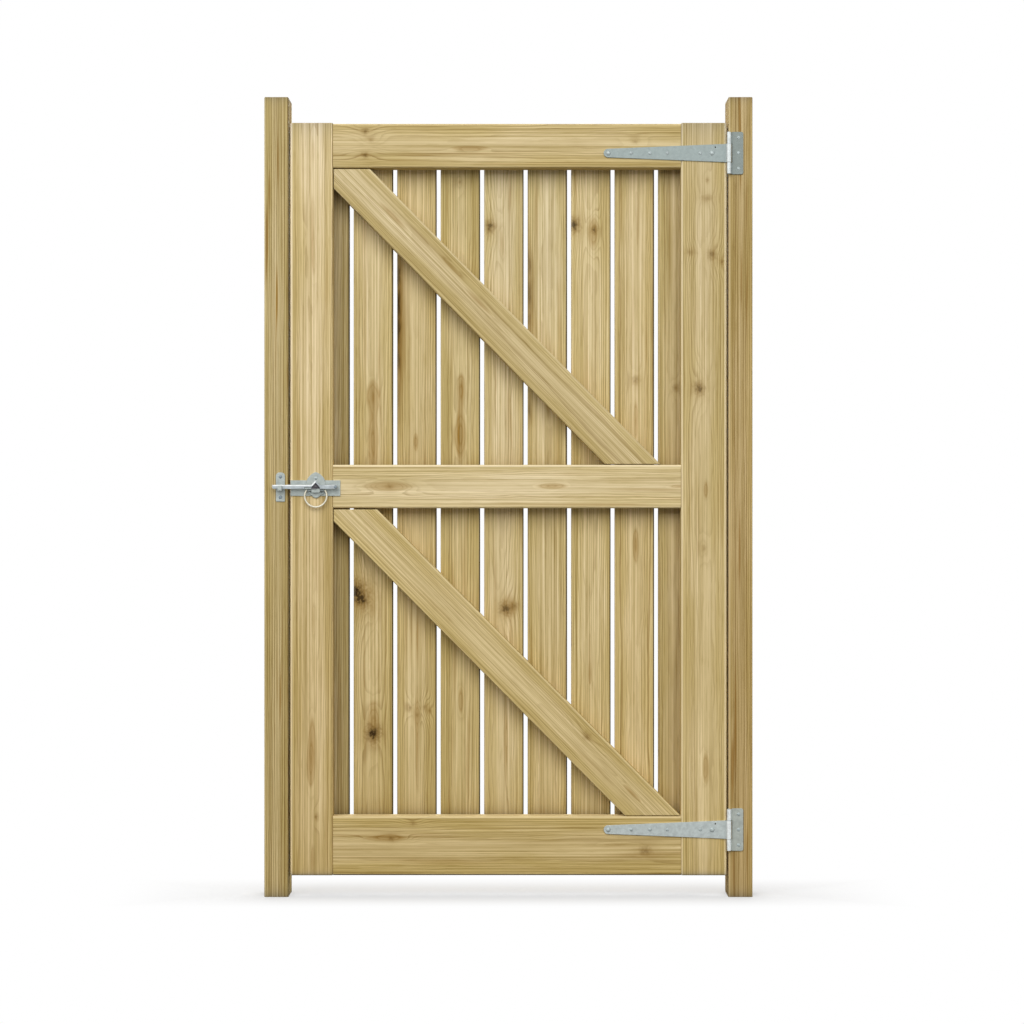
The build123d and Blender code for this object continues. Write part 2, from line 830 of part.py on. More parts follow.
def make_boss(name, seat_plane, collar):
    """An eye for a ring: a round collar that turns in its plate, and a lug below it for the wire."""
    with BuildPart() as boss:
        with BuildSketch(seat_plane):
            Circle(boss_radius)
            with Locations((0, -ring_hinge_drop)):
                RectangleRounded(lug_width, lug_height, lug_corner)
        extrude(amount=boss_thickness)
        with BuildSketch(seat_plane):
            Circle(collar_radius)
        extrude(amount=-collar)
        with BuildSketch(seat_plane.offset(-collar)):
            Rectangle(spindle_size + 2 * square_clearance, spindle_size + 2 * square_clearance)
        extrude(amount=collar + boss_thickness, mode=Mode.SUBTRACT)
        wire_line = seat_plane.offset(boss_thickness / 2).from_local_coords((0, -ring_hinge_drop, 0))
        with Locations(Plane(wire_line, z_dir=(1, 0, 0))):
            Hole(wire_radius + wire_clearance)
    save(boss, name)


def make_lift_cam():
    """The finger that turns with the ring and lifts the bar from below."""
    finger_top = -hump_foot_drop - finger_lift_gap
    finger_bottom = -bar_height / 2
    with BuildPart() as cam:
        with BuildSketch(front_plane(spindle_x, latch_z, boss_front)):
            with Locations((-finger_reach / 2, (finger_top + finger_bottom) / 2)):
                RectangleRounded(finger_reach, finger_top - finger_bottom, finger_corner)
            Circle(cam_radius)
            Rectangle(
                spindle_nose + 2 * square_clearance,
                spindle_nose + 2 * square_clearance,
                mode=Mode.SUBTRACT,
            )
        extrude(amount=cam_thickness)
    save(cam, "lift_cam")


def make_ring(name, seat_plane):
    """A ring handle of round wire, straight where it passes through its eye."""
    plane = seat_plane.offset(boss_thickness / 2)
    rise = ring_centre_drop - ring_hinge_drop
    half = math.sqrt(ring_radius**2 - rise**2)
    with BuildSketch(plane) as outline:
        with BuildLine():
            Line((-half, -ring_hinge_drop), (half, -ring_hinge_drop))
            ThreePointArc(
                (half, -ring_hinge_drop),
                (0, -ring_centre_drop - ring_radius),
                (-half, -ring_hinge_drop),
            )
        make_face()
        fillet(outline.vertices(), ring_corner)
    path = outline.sketch.face().outer_wire()
    with BuildPart() as ring:
        with BuildSketch(Plane(path @ 0, z_dir=path % 0)):
            Circle(wire_radius)
        sweep(path=path)
    save(ring, name)


def make_keep():
    """The catch on the post: a plate with an upturned hook that the bar drops behind."""
    shelf_top = -bar_height / 2 - bar_gap
    shelf_bottom = shelf_top - hook_shelf
    with BuildPart() as keep:
        with BuildSketch(front_plane(keep_x, latch_z)) as outline:
            Rectangle(keep_width, keep_height)
            fillet(outline.vertices().group_by(Axis.Y)[-1], keep_top_corner)
            fillet(outline.vertices().group_by(Axis.Y)[0], keep_bottom_corner)
        extrude(amount=plate_thickness)
        fillet(keep.faces().sort_by(Axis.Y)[0].edges(), metal_edge)
        with BuildSketch(side_plane(keep_x, latch_z)):
            Polygon(
                (0, shelf_bottom),
                (hook_front, shelf_bottom),
                (hook_front, shelf_top),
                (hook_inner + hook_nose_top, hook_rise),
                (hook_inner, hook_rise),
                (hook_inner, shelf_top),
                (0, shelf_top),
                align=None,
            )
        extrude(amount=hook_width / 2, both=True)
        fillet(keep.faces().sort_by(Axis.Y)[0].edges(), metal_edge)
        with Locations(*[front_plane(x, z, plate_thickness) for x, z in keep_screw_spots]):
            Hole(small_screw.shank_radius + plate_hole_clearance, plate_thickness)
    save(keep, "latch_keep")


os.makedirs("parts", exist_ok=True)

make_post("latch_post", -1, keep_screw_spots, small_screw)
make_post("hinge_post", 1, flap_screw_spots, small_screw)
make_stile("latch_stile", leaf_left, opening_left, -1)
make_stile("hinge_stile", opening_right, leaf_right, 1)
for rail_name in rails:
    make_rail(rail_name)
make_brace("upper_brace", upper_brace_corners)
make_brace("lower_brace", lower_brace_corners)
for pale_number in range(1, pale_count + 1):
    make_pale(pale_number)

for position, hinge_height in hinge_heights.items():
    make_strap(f"{position}_hinge_strap", hinge_height)
    make_flap(f"{position}_hinge_flap", hinge_height)
    make_pin(f"{position}_hinge_pin", hinge_height)

make_latch_plate()
make_latch_shield()
make_bar_pivot()
make_rear_rose()
make_latch_bar()
make_spindle()
make_lift_cam()
front_seat = front_plane(spindle_x, latch_z, boss_back)
rear_seat = back_plane(spindle_x, latch_z, plate_thickness + boss_gap)
make_boss("front_ring_boss", front_seat, boss_back - collar_end_gap)
make_boss("rear_ring_boss", rear_seat, plate_thickness + boss_gap - collar_end_gap)
make_ring("front_ring", front_seat)
make_ring("rear_ring", rear_seat)
make_keep()

strap_seats = [front_plane(x, z, strap_thickness) for x, z in strap_screw_spots]
coach_seats = [front_plane(x, z, strap_thickness) for x, z in strap_coach_spots]
flap_seats = [front_plane(x, z, strap_thickness) for x, z in flap_screw_spots]
keep_seats = [front_plane(x, z, plate_thickness) for x, z in keep_screw_spots]
shield_seats = [front_plane(x, z, shield_front) for x, z in shield_screw_spots]
rose_seats = [back_plane(x, z, plate_thickness) for x, z in rose_screw_spots]
nail_seats = [back_plane(x, z) for x, z in nail_spots]
make_fasteners("strap_screws", screw_blank(small_screw, strap_thickness), strap_seats)
make_fasteners("strap_coach_screws", screw_blank(coach_screw, strap_thickness, recess=False), coach_seats)
make_fasteners("flap_screws", screw_blank(small_screw, strap_thickness), flap_seats)
make_fasteners("keep_screws", screw_blank(small_screw, plate_thickness), keep_seats)
make_fasteners("shield_screws", screw_blank(low_screw, shield_front), shield_seats)
make_fasteners("rose_screws", screw_blank(low_screw, plate_thickness), rose_seats)
make_fasteners("pale_nails", nail_blank(), nail_seats)
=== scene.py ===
import math
from collections import namedtuple

import bpy
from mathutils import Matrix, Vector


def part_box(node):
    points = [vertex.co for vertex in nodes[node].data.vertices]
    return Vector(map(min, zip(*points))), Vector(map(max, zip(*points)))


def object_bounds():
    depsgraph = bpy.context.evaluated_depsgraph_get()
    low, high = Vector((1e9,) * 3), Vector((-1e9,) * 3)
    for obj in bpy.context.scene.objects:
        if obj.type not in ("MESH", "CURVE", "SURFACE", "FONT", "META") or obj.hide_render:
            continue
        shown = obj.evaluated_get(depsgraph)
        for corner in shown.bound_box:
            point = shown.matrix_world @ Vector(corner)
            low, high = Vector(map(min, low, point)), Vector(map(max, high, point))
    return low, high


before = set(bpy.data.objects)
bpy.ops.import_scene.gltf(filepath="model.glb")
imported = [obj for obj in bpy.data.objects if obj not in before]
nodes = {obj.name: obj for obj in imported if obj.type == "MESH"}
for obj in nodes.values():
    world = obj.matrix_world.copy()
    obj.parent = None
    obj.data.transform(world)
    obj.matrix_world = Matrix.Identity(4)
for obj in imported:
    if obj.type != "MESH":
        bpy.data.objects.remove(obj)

cad_low, cad_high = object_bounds()

MM_PER_M = 1000
WHITE = (1.0, 1.0, 1.0, 1.0)


class Wiring:
    """Adds nodes to one node tree. A value given for a socket is set on it, and a socket is joined to it."""

    def __init__(self, tree):
        self.tree = tree

    def feed(self, socket, value):
        if isinstance(value, bpy.types.NodeSocket):
            self.tree.links.new(value, socket)
        else:
            socket.default_value = value

    def node(self, kind, inputs=(), **settings):
        made = self.tree.nodes.new(kind)
        for name, value in settings.items():
            setattr(made, name, value)
        for name, value in dict(inputs).items():
            self.feed(made.inputs[name], value)
        return made

    def math(self, operation, *values, clamp=False):
        inputs = dict(enumerate(values))
        return self.node("ShaderNodeMath", inputs, operation=operation, use_clamp=clamp).outputs[0]

    def times(self, first, second, clamp=False):
        return self.math("MULTIPLY", first, second, clamp=clamp)

    def line(self, value, slope, start):
        """slope times value, plus start."""
        return self.math("MULTIPLY_ADD", value, slope, start)

    def bell(self, distance, fall):
        """1 at no distance, and less on both sides of it."""
        return self.math("EXPONENT", self.times(self.times(distance, distance), -fall))

    def fade(self, distance, reach):
        """1 at no distance, and about a third of that after each reach."""
        return self.math("EXPONENT", self.math("DIVIDE", distance, -reach))

    def step(self, value, low, high, top=1.0):
        """0 below low and top above high, with a smooth rise between. A high under low turns it round."""
        made = self.node(
            "ShaderNodeMapRange",
            {"Value": value, "From Min": low, "From Max": high, "To Max": top},
            interpolation_type="SMOOTHSTEP",
        )
        return made.outputs["Result"]

    def vector(self, operation, *values):
        made = self.node("ShaderNodeVectorMath", dict(enumerate(values)), operation=operation)
        return made.outputs["Value" if operation == "LENGTH" else "Vector"]

    def scaled(self, vector, factor):
        made = self.node("ShaderNodeVectorMath", {0: vector, "Scale": factor}, operation="SCALE")
        return made.outputs["Vector"]

    def split(self, vector):
        return self.node("ShaderNodeSeparateXYZ", {"Vector": vector}).outputs

    def noise(self, point, stretch, detail=2.0, roughness=0.5, output="Fac"):
        at = self.vector("MULTIPLY", point, stretch)
        made = self.node(
            "ShaderNodeTexNoise",
            {"Vector": at, "Scale": 1.0, "Detail": detail, "Roughness": roughness},
        )
        return made.outputs[output]

    def push(self, point, pattern, reach):
        """A shift that changes smoothly from place to place, by up to half of reach either way."""
        shift = self.vector("SUBTRACT", self.noise(point, output="Color", **pattern), (0.5, 0.5, 0.5))
        return self.vector("MULTIPLY", shift, reach)

    def blend(self, factor, first, second, mode="MIX"):
        """The first colour where factor is 0. Sockets 6 and 7 of the node are its two colours."""
        made = self.node(
            "ShaderNodeMix",
            {"Factor": factor, 6: first, 7: second},
            data_type="RGBA", blend_type=mode, clamp_factor=True,
        )
        return made.outputs[2]

    def ramp(self, factor, stops):
        made = self.node("ShaderNodeValToRGB", {"Fac": factor})
        band = made.color_ramp.elements
        while len(band) < len(stops):
            band.new(0.5)
        for element, (place, colour) in zip(band, stops):
            element.position = place
            element.color = colour
        return made.outputs["Color"]

    def joined(self, red, green, blue):
        return self.node("ShaderNodeCombineColor", {"Red": red, "Green": green, "Blue": blue}).outputs[0]

    def bump(self, height, strength, distance):
        inputs = {"Height": height, "Strength": strength, "Distance": distance}
        return self.node("ShaderNodeBump", inputs).outputs["Normal"]


def empty_wiring(owner):
    """The wiring of a material or a world, with no nodes in it yet."""
    owner.use_nodes = True
    owner.node_tree.nodes.clear()
    return Wiring(owner.node_tree)


def new_group(name, inputs, outputs):
    """An empty node group with the named sockets: its wiring, its input sockets and its output node."""
    group = bpy.data.node_groups.new(name, "ShaderNodeTree")
    for title, kind in inputs.items():
        group.interface.new_socket(title, in_out="INPUT", socket_type="NodeSocket" + kind)
    for title, kind in outputs.items():
        group.interface.new_socket(title, in_out="OUTPUT", socket_type="NodeSocket" + kind)
    wiring = Wiring(group)
    return wiring, wiring.node("NodeGroupInput").outputs, wiring.node("NodeGroupOutput").inputs


def srgb(red, green, blue):
    """A colour as seen on a screen, 0 to 255, as the linear colour that a shader takes."""
    linear = [c / 12.92 if c <= 0.04045 else ((c + 0.055) / 1.055) ** 2.4
              for c in (red / 255, green / 255, blue / 255)]
    return (*linear, 1.0)


def grey(level):
    return (level, level, level, 1.0)


# A point in a board is given along its grain, through its thickness and across its face, in metres. A pair
# whose name ends in TONE, DEPTH or ROUGHNESS is a slope and what is added to it. One that ends in ZONE is where
# a smooth step starts and where it is complete. The stretch of a pattern is how often it changes in a metre.

# What a mark adds to a board: a lift of its rings, a knot's dark core and brown halo, and the stain of a lens
MARKS = {"Lift": "Float", "Core": "Float", "Halo": "Float", "Stain": "Float"}

# How quickly a lens and the halo of a knot fall away
LENS_FALL = 1.0
HALO_FALL = 0.5

# The outline of a knot goes in and out round its centre, and no two knots have the same
OUTLINE_TURNS = 1.1
OUTLINE_SPREAD = 900.0
OUTLINE_PATTERN = {"stretch": (1.0, 1.0, 1.0)}
OUTLINE_REACH = 0.6
RAGGED_REACH = 0.9

# Inside its outline a knot has rings of its own
KNOT_ZONE = (1.15, 0.15)
KNOT_RINGS = 6.6
KNOT_RING_TONE = (0.16, 0.92)


def make_mark_group():
    """One mark in a board: a knot, a resin lens or a strip of wane. It adds to the marks before it."""
    wiring, given, result = new_group(
        "board_mark",
        {"Point": "Vector", "Ragged": "Float", "Centre": "Vector", "Lens": "Vector", "Rise": "Float",
         "Staining": "Float", "Heart": "Vector", "Darkness": "Float", **MARKS},
        MARKS,
    )
    away = wiring.vector("SUBTRACT", given["Point"], given["Centre"])
    in_lens = wiring.vector("LENGTH", wiring.vector("MULTIPLY", away, given["Lens"]))
    hill = wiring.bell(in_lens, LENS_FALL)
    lift = wiring.line(hill, given["Rise"], given["Lift"])
    stain = wiring.line(hill, given["Staining"], given["Stain"])

    in_heart = wiring.vector("MULTIPLY", away, given["Heart"])
    bearing = wiring.scaled(wiring.vector("NORMALIZE", in_heart), OUTLINE_TURNS)
    apart = wiring.scaled(given["Centre"], OUTLINE_SPREAD)
    rays = wiring.noise(wiring.vector("ADD", bearing, apart), **OUTLINE_PATTERN)
    reach = wiring.line(rays, OUTLINE_REACH, -OUTLINE_REACH / 2)
    reach = wiring.line(given["Ragged"], RAGGED_REACH, reach)
    distance = wiring.math("ADD", wiring.vector("LENGTH", in_heart), reach)
    rings = wiring.math("COSINE", wiring.times(distance, KNOT_RINGS))
    disc = wiring.step(distance, *KNOT_ZONE)
    disc = wiring.times(disc, wiring.line(rings, *KNOT_RING_TONE), clamp=True)
    core = wiring.math("MAXIMUM", wiring.times(disc, given["Darkness"]), given["Core"])
    halo = wiring.line(wiring.bell(distance, HALO_FALL), given["Darkness"], given["Halo"])
    for title, value in zip(MARKS, (lift, core, halo, stain)):
        wiring.feed(result[title], value)
    return wiring.tree


HEART_WOOD = srgb(213, 195, 150)
SIDE_WOOD = srgb(198, 178, 116)
LATE_WOOD = srgb(142, 113, 62)
RESIN = srgb(158, 125, 64)
KNOT_RIM = srgb(156, 126, 68)
KNOT_BROWN = srgb(114, 84, 34)
KNOT_DARK = srgb(52, 35, 14)
# The next two are painted: a highlight and shade for the eased edges
EDGE_HIGHLIGHT = srgb(240, 226, 188)
EDGE_SHADE = srgb(70, 60, 38)

# A board's seed moves its patterns by so many of these steps
SEED_STEP = (3.71, 1.93, 5.37)

# The growth rings are bent by slow waves and by ripples
WAVES = {"stretch": (1.3, 5.0, 5.0), "detail": 1.0}
WAVE_REACH = (0.0, 0.012, 0.006)
RIPPLES = {"stretch": (8.0, 60.0, 60.0), "detail": 2.0}
RIPPLE_REACH = (0.0, 0.006, 0.0016)
ACROSS_GRAIN = (0.0, 1.0, 1.0)

# Years differ in width and strength, and their late wood shows more where the rings stand across the face
YEAR_CHANGES = 110.0
YEAR_SPREAD = 1.6
LATE_ZONE = (0.45, 0.9)
YEAR_END_ZONE = (1.0, 0.93)
YEAR_TONE = (0.8, 0.35)
STANDING_ZONE = (0.1, 0.5)
STANDING_TONE = (0.65, 0.3)

# Fibres along the grain, flecks in the flat middle, and broad bands where the treatment took more or less
FINE = {"stretch": (18.0, 900.0, 900.0), "detail": 2.0, "roughness": 0.6}
FINE_SHARE = 0.26
MEDIUM = {"stretch": (1.6, 380.0, 380.0), "detail": 1.0, "roughness": 0.6}
MEDIUM_TONE = (1.3, 0.235)
FLECKS = {"stretch": (15.0, 260.0, 260.0), "detail": 2.0, "roughness": 0.6}
FLECK_ZONE = (0.54, 0.72)
FLECK_SHARE = 0.14
BROAD = {"stretch": (3.2, 17.0, 17.0), "detail": 3.0}
BROAD_TONE = (-0.3, 1.15)
SIDE_WAVER = 1.6
SIDE_ZONE = (0.95, 1.75)
RED_POWER = 0.87
BLUE_POWER = 1.5

# Resin lies in streaks and in the lenses, where the late wood is a little browner
STREAKS = {"stretch": (2.6, 60.0, 75.0), "detail": 1.0}
STREAK_ZONE = (0.6, 0.74)
LENS_ZONE = (0.22, 0.5)
LENS_DEPTH = (0.38, 0.27)
LENS_RING_TONE = (0.2, 0.9)

# How far a halo turns the wood brown, the tones of a knot, and what rings and fibres do to the surface
HALO_SHARE = 0.4
KNOT_STOPS = ((0.0, KNOT_RIM), (0.5, KNOT_BROWN), (0.85, KNOT_DARK), (1.0, KNOT_DARK))
FINE_ROUGHNESS_SHARE = 0.16
RING_ROUGHNESS = (-0.1, 0.7)
RING_HEIGHT_SHARE = 0.6
FINE_HEIGHT_SHARE = 0.5


def make_timber_group():
    """Softwood: growth rings about a heart line behind the board, fibres, resin streaks and knots."""
    wiring, given, result = new_group(
        "treated_timber",
        {"Point": "Vector", "Seed": "Float", "Heart": "Vector", "Lean": "Vector", "Ring Width": "Float",
         "Half Width": "Float", "Grain": "Float", "Streaks": "Float", "Green": "Float", "Tint": "Color",
         "Edge Highlight": "Float", "Edge Shade": "Float", "End": "Float", **MARKS},
        {"Color": "Color", "Roughness": "Float", "Height": "Float"},
    )
    along, _, across = wiring.split(given["Point"])
    moved = wiring.vector("ADD", given["Point"], wiring.scaled(SEED_STEP, given["Seed"]))

    # Growth rings: the distance from the heart line, bent, and pushed out round each knot
    bends = wiring.push(moved, WAVES, WAVE_REACH)
    wobble = wiring.push(moved, RIPPLES, RIPPLE_REACH)
    from_heart = wiring.vector("SUBTRACT", given["Point"], given["Heart"])
    leaning = wiring.vector("ADD", from_heart, wiring.scaled(given["Lean"], along))
    bent = wiring.vector("ADD", wiring.vector("ADD", leaning, bends), wobble)
    spoke = wiring.vector("MULTIPLY", bent, ACROSS_GRAIN)
    grown = wiring.math("ADD", wiring.vector("LENGTH", spoke), given["Lift"])
    seasons = wiring.node(
        "ShaderNodeTexNoise",
        {"W": wiring.line(grown, YEAR_CHANGES, given["Seed"]), "Scale": 1.0, "Detail": 0.0},
        noise_dimensions="1D",
    ).outputs["Fac"]
    count = wiring.line(seasons, YEAR_SPREAD, wiring.math("DIVIDE", grown, given["Ring Width"]))
    year = wiring.math("FLOOR", count)
    season = wiring.math("FRACT", count)
    strength = wiring.node(
        "ShaderNodeTexWhiteNoise", {"W": wiring.math("ADD", year, given["Seed"])}, noise_dimensions="1D"
    ).outputs["Value"]
    late = wiring.times(wiring.step(season, *LATE_ZONE), wiring.step(season, *YEAR_END_ZONE))
    sideways = wiring.math("ABSOLUTE", wiring.split(wiring.vector("NORMALIZE", spoke))["Z"])
    standing = wiring.line(wiring.step(sideways, *STANDING_ZONE), *STANDING_TONE)
    ring = wiring.times(wiring.times(late, wiring.line(strength, *YEAR_TONE)), standing)

    fine = wiring.noise(moved, **FINE)
    medium = wiring.noise(moved, **MEDIUM)
    fleck = wiring.noise(moved, **FLECKS)
    broad = wiring.noise(moved, **BROAD)
    streak = wiring.noise(moved, **STREAKS)

    near_side = wiring.math("DIVIDE", wiring.math("ABSOLUTE", across), given["Half Width"])
    side = wiring.step(wiring.line(broad, SIDE_WAVER, near_side), *SIDE_ZONE)
    wood = wiring.blend(wiring.times(side, given["Green"]), HEART_WOOD, SIDE_WOOD)
    wood = wiring.blend(wiring.times(ring, given["Grain"]), wood, LATE_WOOD)
    resin = wiring.times(wiring.step(streak, *STREAK_ZONE), given["Streaks"])
    inside = wiring.times(wiring.step(given["Stain"], *LENS_ZONE), wiring.line(given["Stain"], *LENS_DEPTH))
    in_lens = wiring.times(inside, wiring.line(late, *LENS_RING_TONE))
    wood = wiring.blend(wiring.math("ADD", resin, in_lens, clamp=True), wood, RESIN)
    fibre = wiring.line(fine, FINE_SHARE, wiring.line(medium, *MEDIUM_TONE))
    fibre = wiring.math("SUBTRACT", fibre, wiring.step(fleck, *FLECK_ZONE, FLECK_SHARE))
    fibre = wiring.times(fibre, wiring.line(broad, *BROAD_TONE))
    shades = wiring.joined(
        wiring.math("POWER", fibre, RED_POWER), fibre, wiring.math("POWER", fibre, BLUE_POWER)
    )
    wood = wiring.blend(1.0, wood, shades, "MULTIPLY")
    wood = wiring.blend(wiring.times(given["Halo"], HALO_SHARE, clamp=True), wood, KNOT_RIM)
    wood = wiring.blend(given["Core"], wood, wiring.ramp(given["Core"], KNOT_STOPS))
    # Painted highlight and painted shade on the eased edges
    wood = wiring.blend(given["Edge Highlight"], wood, EDGE_HIGHLIGHT)
    wood = wiring.blend(given["Edge Shade"], wood, EDGE_SHADE)
    wood = wiring.blend(given["End"], wood, LATE_WOOD)
    wood = wiring.blend(1.0, wood, given["Tint"], "MULTIPLY")
    wiring.feed(result["Color"], wood)
    rough = wiring.line(fine, FINE_ROUGHNESS_SHARE, wiring.line(ring, *RING_ROUGHNESS))
    wiring.feed(result["Roughness"], rough)
    height = wiring.line(ring, RING_HEIGHT_SHARE, wiring.times(fine, FINE_HEIGHT_SHARE))
    wiring.feed(result["Height"], wiring.math("SUBTRACT", height, given["Core"]))
    return wiring.tree


BOARD_MARK = make_mark_group()
TREATED_TIMBER = make_timber_group()

# A mark's place and sizes are in millimetres, and its rise is in widths of a growth ring
Mark = namedtuple("Mark", "x z lens_length lens_width rise stain core_length core_width dark strip")
USUAL_RISE = 2.0


def eye(x, z, size, dark, stain=0.3):
    """A knot cut across, with the grain flowing round it."""
    return Mark(x, z, lens_length=7.0 * size + 10, lens_width=2.4 * size + 4, rise=USUAL_RISE, stain=stain,
                core_length=2.7 * size, core_width=2.2 * size, dark=dark, strip=False)


def lens(x, z, length, width, stain, rise=USUAL_RISE):
    """A pointed brown lens where a growth ring comes up through the face."""
    return Mark(x, z, lens_length=length, lens_width=width, rise=rise, stain=stain,
                core_length=1.0, core_width=1.0, dark=0.0, strip=False)


def cloud(x, z, length, width, dark):
    """A brownish blur over a knot that lies under the face."""
    return Mark(x, z, lens_length=2 * length, lens_width=1.5 * width, rise=1.0, stain=0.3,
                core_length=length, core_width=width, dark=dark, strip=False)


def wane(x, z, length, width, dark=0.95):
    """A ragged dark strip along an edge, where the board still has the skin of the tree."""
    return Mark(x, z, lens_length=1.0, lens_width=1.0, rise=0.0, stain=0.0,
                core_length=length, core_width=width, dark=dark, strip=True)


# The edge of a knot is uneven on all sides, and that of wane is torn along the grain
RAGGED = {"stretch": (150.0, 150.0, 150.0), "detail": 2.0}
TORN = {"stretch": (14.0, 120.0, 120.0), "detail": 3.0}
TORN_REACH = 0.6

# How far inside a face, an edge or an end a tone starts, and where it is complete
FACE_RIM = (0.005, 0.0005)
HIGHLIGHT_RIM = (0.0065, 0.003)
SHADE_RIM = (0.0045, 0.0015)
TOP_RIM = (0.002, 0.0005)
END_RIM = (0.0016, 0.0004)
FRONT_ZONE = (0.004, -0.004)
# How strong the painted highlight over a board's whole top face is, and how much darker end grain is
TOP_HIGHLIGHT = 0.75
END_DARKENED = 0.45

# Posts and stiles grow darker and greyer towards their ends: how much at the head and at the foot, and over
# what length. At the foot this is painted shade.
POST_ENDS = ((0.48, 0.0105), (0.7, 0.014))
STILE_ENDS = ((0.35, 0.03), (1.0, 0.005))
END_GREY_AND_SHADE = (0.32, 0.38, 0.62, 1.0)

# Painted shade: the pales are darker on their front just above the rails
RAIL_SHADE_AMOUNTS = {"bottom_rail": 0.5, "middle_rail": 0.28}
RAIL_SHADE_REACH = 0.025
RAIL_SHADE_ZONE = (-0.02, 0.0)

WOOD_BUMP = {"strength": 0.35, "distance": 0.0005}
WOOD_SHINE = 0.05
RING_WIDTH = 0.0033

# The grain's angle from level, clockwise as seen from the face. A brace also has a middle and a width, because
# its box doesn't give them.
UPRIGHT = -90.0
LEVEL = 0.0
UPPER_BRACE = {"turn": 45.49, "middle": (-0.0172, 1.3596), "width": 0.0946}
LOWER_BRACE = {"turn": 45.28, "middle": (0.0153, 0.5293), "width": 0.0946}

Board = namedtuple("Board", "turn centre half_length half_thickness half_width")


def measure(name, turn, middle, width):
    """The place and size of a board, along its grain."""
    low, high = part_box(name)
    centre = (low + high) / 2
    if middle:
        centre.x, centre.z = middle
    length, found_width = high.x - low.x, high.z - low.z
    if turn == UPRIGHT:
        length, found_width = found_width, length
    return Board(turn, centre, length / 2, (high.y - low.y) / 2, (width or found_width) / 2)


def within(wiring, value, limit, rim, top=1.0):
    """top where value comes up to limit, and 0 from the rim inwards."""
    start, complete = rim
    return wiring.step(value, limit - start, limit - complete, top)


def add_marks(wiring, point, board, ring_width, marks):
    """Chains a board's marks. What they add up to is given by the names in MARKS."""
    found = dict.fromkeys(MARKS, 0.0)
    if not marks:
        return found
    ragged = wiring.math("SUBTRACT", wiring.noise(point, **RAGGED), 0.5)
    torn = wiring.line(wiring.noise(point, **TORN), TORN_REACH, -TORN_REACH / 2)
    cosine, sine = math.cos(math.radians(board.turn)), math.sin(math.radians(board.turn))
    for mark in marks:
        dx, dz = mark.x / MM_PER_M - board.centre.x, mark.z / MM_PER_M - board.centre.z
        made = wiring.node(
            "ShaderNodeGroup",
            {
                "Point": point,
                "Ragged": torn if mark.strip else ragged,
                "Centre": (dx * cosine - dz * sine, 0.0, dx * sine + dz * cosine),
                "Lens": (MM_PER_M / mark.lens_length, 0.0, MM_PER_M / mark.lens_width),
                "Rise": mark.rise * ring_width,
                "Staining": mark.stain,
                "Heart": (MM_PER_M / mark.core_length, 0.0, MM_PER_M / mark.core_width),
                "Darkness": mark.dark,
                **found,
            },
            node_tree=BOARD_MARK,
        )
        found = {title: made.outputs[title] for title in MARKS}
    return found


def edge_tones(wiring, board, through, across, in_front, edges, top_highlight):
    """How pale and how dark a board is at its eased edges: a painted highlight, and painted shade on the front.
    """
    at_face = within(wiring, wiring.math("ABSOLUTE", through), board.half_thickness, FACE_RIM)
    pale, dark = 0.0, 0.0
    for factor, sign in zip(edges, (1.0, -1.0)):
        outward = wiring.times(across, sign)
        if factor > 0.0:
            at_side = within(wiring, outward, board.half_width, HIGHLIGHT_RIM, factor)
            pale = wiring.math("ADD", wiring.times(at_side, at_face), pale)
            # A painted highlight over the whole top face
            if top_highlight and sign > 0.0:
                on_top = within(wiring, outward, board.half_width, TOP_RIM, TOP_HIGHLIGHT)
                pale = wiring.math("MAXIMUM", pale, on_top)
        elif factor < 0.0:
            # Painted shade, on the front of the edge only
            at_side = within(wiring, outward, board.half_width, SHADE_RIM, -factor)
            dark = wiring.math("ADD", wiring.times(at_side, in_front), dark)
    return pale, dark


def tint_with_painted_shade(wiring, board, height, along, in_front, tint, foot, ends, rail_shade):
    """A board's tint from the ground to the head of the gate, partly painted light and shade, with its darker
    ends, painted shade at the foot, and painted shade on the pales' fronts just above the rails.
    """
    # The tone changes from foot to head up the gate, partly as painted light and shade
    at_foot = [head * share for head, share in zip(tint, foot)]
    tone = wiring.blend(wiring.math("DIVIDE", height, cad_high.z), (*at_foot, 1.0), (*tint, 1.0))
    # Darker and greyer towards each end; at the foot this is painted shade
    for (amount, reach), sign in zip(ends, (-1.0, 1.0)):
        from_end = wiring.line(along, sign, board.half_length)
        tone = wiring.blend(wiring.times(wiring.fade(from_end, reach), amount), tone, END_GREY_AND_SHADE, "MULTIPLY")
    # Painted shade on the front of the pales, fading upwards from the top of each rail
    if rail_shade:
        for rail, amount in RAIL_SHADE_AMOUNTS.items():
            above = wiring.math("SUBTRACT", height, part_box(rail)[1].z)
            fade = wiring.fade(wiring.math("MAXIMUM", above, 0.0), RAIL_SHADE_REACH)
            shade_above_rail = wiring.times(wiring.times(fade, wiring.step(above, *RAIL_SHADE_ZONE)), in_front)
            tone = wiring.scaled(tone, wiring.line(shade_above_rail, -amount, 1.0))
    return tone


